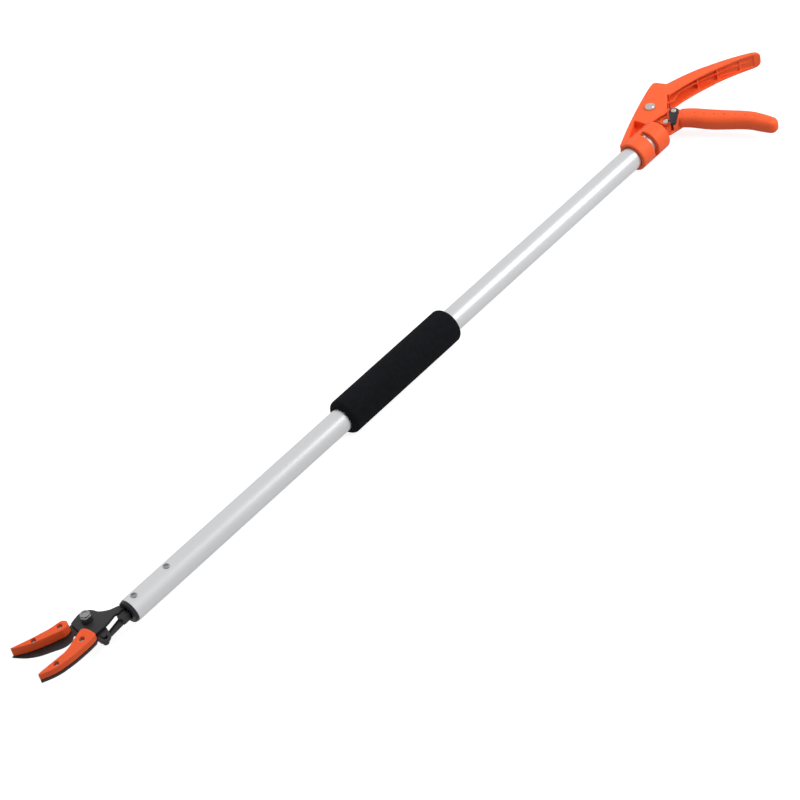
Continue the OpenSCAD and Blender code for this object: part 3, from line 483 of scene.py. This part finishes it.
# Yoke: an orange nylon stirrup, moulded, that ties the rod's button to the trigger.
# A plated pin goes through its eye and through the slots of the trigger's fork.
yoke = moulded("rod_yoke", "rod_yoke_moulding", voxel=0.4, passes=3, share=0.5)
fit(yoke, orange, "rod_yoke")
# The pin's lighter, warmer plating is a painted glint and a painted orange reflection.
paint(plating_painted_glint, "yoke_pin")

# Trigger: an orange nylon lever, moulded, with a row of dimples along its side.
# It turns on the domed bolt and is squeezed against the fixed grip.
trigger = moulded("trigger", "trigger_moulding", voxel=0.35, passes=3, share=0.4)
fit(trigger, orange, "trigger")

# Thumb latch: a glossy black teardrop, moulded in acetal, on a domed rivet in the trigger.
# Turned over the cheek, it holds the trigger shut.


def glossy_black():
    """Moulded black acetal: smooth and glossy, with faint flow marks about 5 mm apart."""
    material, tree = new_material("glossy_black_acetal")
    place = add(tree, "ShaderNodeTexCoord", {}).outputs["Object"]
    along = add(tree, "ShaderNodeMapping", {"Vector": place, "Scale": per_mm(10, 5, 5)})
    flow = add(tree, "ShaderNodeTexNoise", {"Vector": along.outputs[0], "Scale": 1, "Detail": 3})
    colour = add(tree, "ShaderNodeMix", {0: flow.outputs[0], 6: linear("#131318"), 7: linear("#1E1E24")},
                 data_type="RGBA")
    shine = add(tree, "ShaderNodeMapRange", {"Value": flow.outputs[0], "To Min": 0.12, "To Max": 0.28})
    relief = add(tree, "ShaderNodeBump", {"Height": flow.outputs[0], "Distance": 0.00002})
    shader = add(tree, "ShaderNodeBsdfPrincipled", {
        "Base Color": colour.outputs[2], "Roughness": shine.outputs[0], "Specular IOR Level": 0.25,
        "Normal": relief.outputs[0]})
    add(tree, "ShaderNodeOutputMaterial", {"Surface": shader.outputs[0]})
    return material


fit(rounded("thumb_latch", "thumb_latch_lever", 1.0, 5), glossy_black(), "thumb_latch")
# The rivet's lighter, warmer plating is a painted glint and a painted orange reflection.
paint(plating_painted_glint, "latch_rivet")

# Stage: a wide pale floor under the foam grip, and a white room around it. Both look white to the camera.
# In metal the room stays white and the floor is dimmer, and the floor keeps the pruner's shadow.
FLOOR_HALF = 15
FLOOR_LIFT = 0.84
FLOOR_IN_METAL = 0.62
AMBIENT = 0.42


def seen_rays(tree, in_metal):
    """One for rays from the camera and through glass, and a share of one for rays off metal."""
    path = add(tree, "ShaderNodeLightPath", {}).outputs
    glossy = add(tree, "ShaderNodeMath", {0: path["Is Glossy Ray"], 1: in_metal}, operation="MULTIPLY")
    seen = add(tree, "ShaderNodeMath", {0: path["Is Camera Ray"], 1: glossy.outputs[0]}, operation="MAXIMUM")
    return add(tree, "ShaderNodeMath", {0: seen.outputs[0], 1: path["Is Transmission Ray"]},
               operation="MAXIMUM").outputs[0]


bpy.ops.object.select_all(action="DESELECT")
bpy.ops.mesh.primitive_plane_add(size=2 * FLOOR_HALF, location=(0, 0, cad_box[0][2]))
floor = bpy.context.object
floor.name = "floor"
bpy.ops.object.transform_apply()
floor_paint, tree = new_material("pale_floor")
lift = add(tree, "ShaderNodeMath", {0: seen_rays(tree, FLOOR_IN_METAL), 1: FLOOR_LIFT}, operation="MULTIPLY")
shader = add(tree, "ShaderNodeBsdfPrincipled", {
    "Base Color": linear("#A7A7A7"), "Roughness": 0.9, "Specular IOR Level": 0,
    "Emission Color": linear("#FFFFFF"), "Emission Strength": lift.outputs[0]})
add(tree, "ShaderNodeOutputMaterial", {"Surface": shader.outputs[0]})
floor.data.materials.append(floor_paint)

world = bpy.data.worlds.new("white_room")
world.use_nodes = True
tree = world.node_tree
tree.nodes.clear()
level = add(tree, "ShaderNodeMapRange", {"Value": seen_rays(tree, 1), "To Min": AMBIENT, "To Max": 1})
room = add(tree, "ShaderNodeBackground", {"Color": linear("#FFFFFF"), "Strength": level.outputs[0]})
add(tree, "ShaderNodeOutputWorld", {"Surface": room.outputs[0]})
bpy.context.scene.world = world

# Lights: a broad softbox above and behind, and another at the handle's end, on the trigger's side.
# Neither shows in shiny faces: there a small panel draws the bright line along the tube.


def softbox(name, place, aim, size, power):
    """A rectangular area lamp at a place, turned to what it is aimed at."""
    lamp = bpy.data.lights.new(name, "AREA")
    lamp.shape = "RECTANGLE"
    lamp.size, lamp.size_y = size
    lamp.energy = power
    holder = bpy.data.objects.new(name, lamp)
    holder.location = place
    holder.rotation_euler = (Vector(aim) - Vector(place)).to_track_quat("-Z", "Y").to_euler()
    bpy.context.scene.collection.objects.link(holder)
    return holder


key = softbox("key_softbox", place=(0.1, 1.1, 2.3), aim=(0.05, 0, 0), size=(1.6, 1.6), power=21)
side = softbox("side_softbox", place=(1.06, -0.98, 1), aim=(0.25, 0, 0), size=(1.2, 1.2), power=21)
panel = softbox("shine_panel", place=(1.16, -0.88, 1.03), aim=(0.25, 0, 0), size=(0.8, 0.85), power=4.4)
key.visible_glossy = False
side.visible_glossy = False
panel.visible_diffuse = False

# Camera: a long lens that looks down at the pruner from the front and a little to one side.
# Its place and its turn come from the photograph's own lines.
LENS = 108
SENSOR = 36
CAMERA_AT = (-1.163992, -1.426835, 1.550647)
CAMERA_RIGHT = Vector((0.6490631, -0.7370224, -0.1884546))
CAMERA_UP = Vector((0.5923109, 0.3341581, 0.7331481))

lens = bpy.data.cameras.new("camera")
lens.lens = LENS
lens.sensor_width = SENSOR
lens.clip_end = 100
camera = bpy.data.objects.new("camera", lens)
turn = Matrix((CAMERA_RIGHT, CAMERA_UP, CAMERA_RIGHT.cross(CAMERA_UP))).transposed()
camera.matrix_world = Matrix.Translation(CAMERA_AT) @ turn.to_4x4()
bpy.context.scene.collection.objects.link(camera)
bpy.context.scene.camera = camera
bpy.context.scene.view_settings.view_transform = "Standard"
